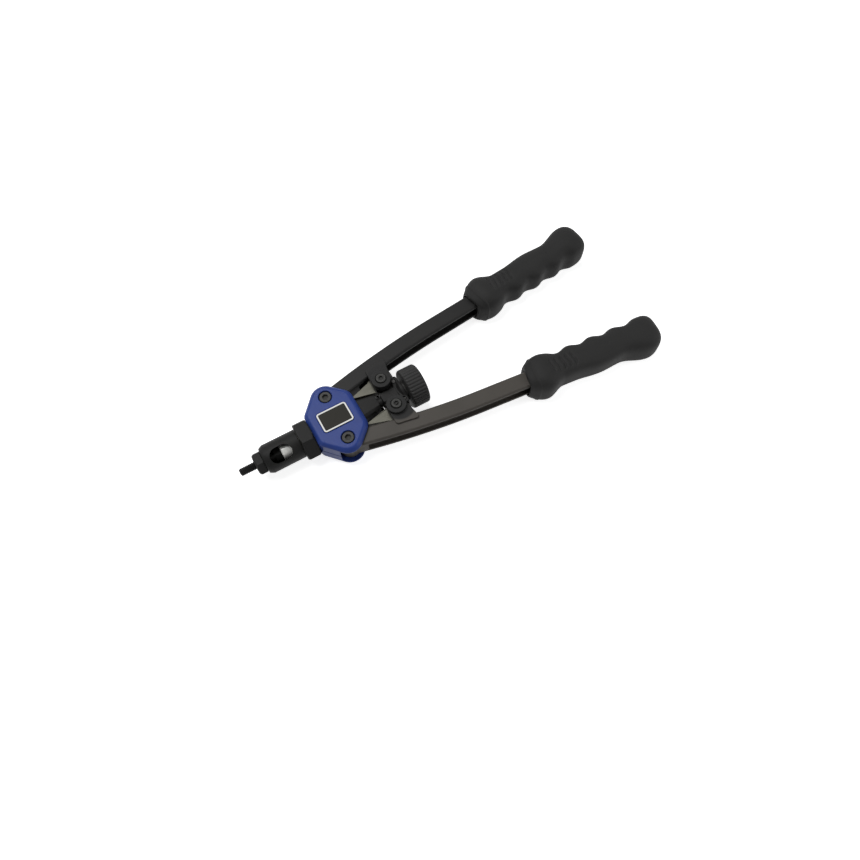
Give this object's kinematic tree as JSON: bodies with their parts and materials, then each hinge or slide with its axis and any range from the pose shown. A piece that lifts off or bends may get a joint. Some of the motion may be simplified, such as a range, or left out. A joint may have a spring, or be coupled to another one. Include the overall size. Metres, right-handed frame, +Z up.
{
  "type": "rivet nut tool",
  "caption": "Two-handed setting tool for rivet nuts: closing the long handles draws the threaded mandrel back through the nosepiece; a ribbed knob spins it.",
  "frame": {"origin": "centre of the bounding box's base: on the table, on the tool's axis, midway from the mandrel's tip to the ends of the grips", "axes": "+X along the tool's axis from the nose to the handles, +Y towards the left handle, +Z up from the table; metres"},
  "size_m": [0.3396, 0.1376, 0.032],
  "materials": {
    "blue_paint": "glossy royal blue paint over castings",
    "black_steel": "satin charcoal coating over steel",
    "black_oxide": "black oxide on steel fasteners and nose parts",
    "bare_steel": "plain grey-olive steel",
    "bright_steel": "bright turned steel",
    "grip_rubber": "matte moulded rubber",
    "label": "black plate with a white border line, no text"
  },
  "bodies": {
    "head": {"head_upper_cover": "blue_paint", "head_lower_cover": "blue_paint", "name_plate": "label", "nose_housing": "bare_steel", "guide_tube": "black_steel", "nose_collar": "black_steel", "nose_cage": "black_steel", "nosepiece": "black_oxide", "left_pivot_screw": "black_oxide", "right_pivot_screw": "black_oxide", "left_pivot_bush": "bare_steel", "right_pivot_bush": "bare_steel", "left_pivot_nut": "black_oxide", "right_pivot_nut": "black_oxide"},
    "left_handle": {"left_arm": "black_steel", "left_grip": "grip_rubber", "left_ear_screw": "black_oxide", "left_ear_roller": "bare_steel", "left_ear_nut": "black_oxide"},
    "right_handle": {"right_arm": "black_steel", "right_grip": "grip_rubber", "right_ear_screw": "black_oxide", "right_ear_roller": "bare_steel", "right_ear_nut": "black_oxide"},
    "slide": {"crosshead": "black_steel", "left_slide_plate": "bare_steel", "right_slide_plate": "bare_steel", "left_slide_pin": "bare_steel", "right_slide_pin": "bare_steel", "thrust_washer": "bare_steel"},
    "spindle": {"mandrel": "black_oxide", "mandrel_sleeve": "bright_steel", "pull_shaft": "bare_steel", "knob": "black_steel", "knob_screw": "black_oxide"}
  },
  "joints": [
    {"name": "left_handle_hinge", "type": "hinge", "parent": "head", "child": "left_handle", "pos_m": [-0.08958, 0.019, 0.016], "axis": [0, 0, 1], "range_deg": [-5, 7]},
    {"name": "right_handle_hinge", "type": "hinge", "parent": "head", "child": "right_handle", "pos_m": [-0.08958, -0.019, 0.016], "axis": [0, 0, 1], "range_deg": [-7, 5]},
    {"name": "crosshead_slide", "type": "slide", "parent": "head", "child": "slide", "axis": [1, 0, 0], "range_m": [-0.00352, 0.00252]},
    {"name": "knob_spin", "type": "hinge", "parent": "slide", "child": "spindle", "pos_m": [-0.03958, 0, 0.016], "axis": [1, 0, 0], "continuous": true}
  ],
  "couplings": [
    {"joint": "right_handle_hinge", "follows": "left_handle_hinge", "ratio": -1},
    {"joint": "crosshead_slide", "follows": "left_handle_hinge", "m_per_rad": -0.028648}
  ]
}
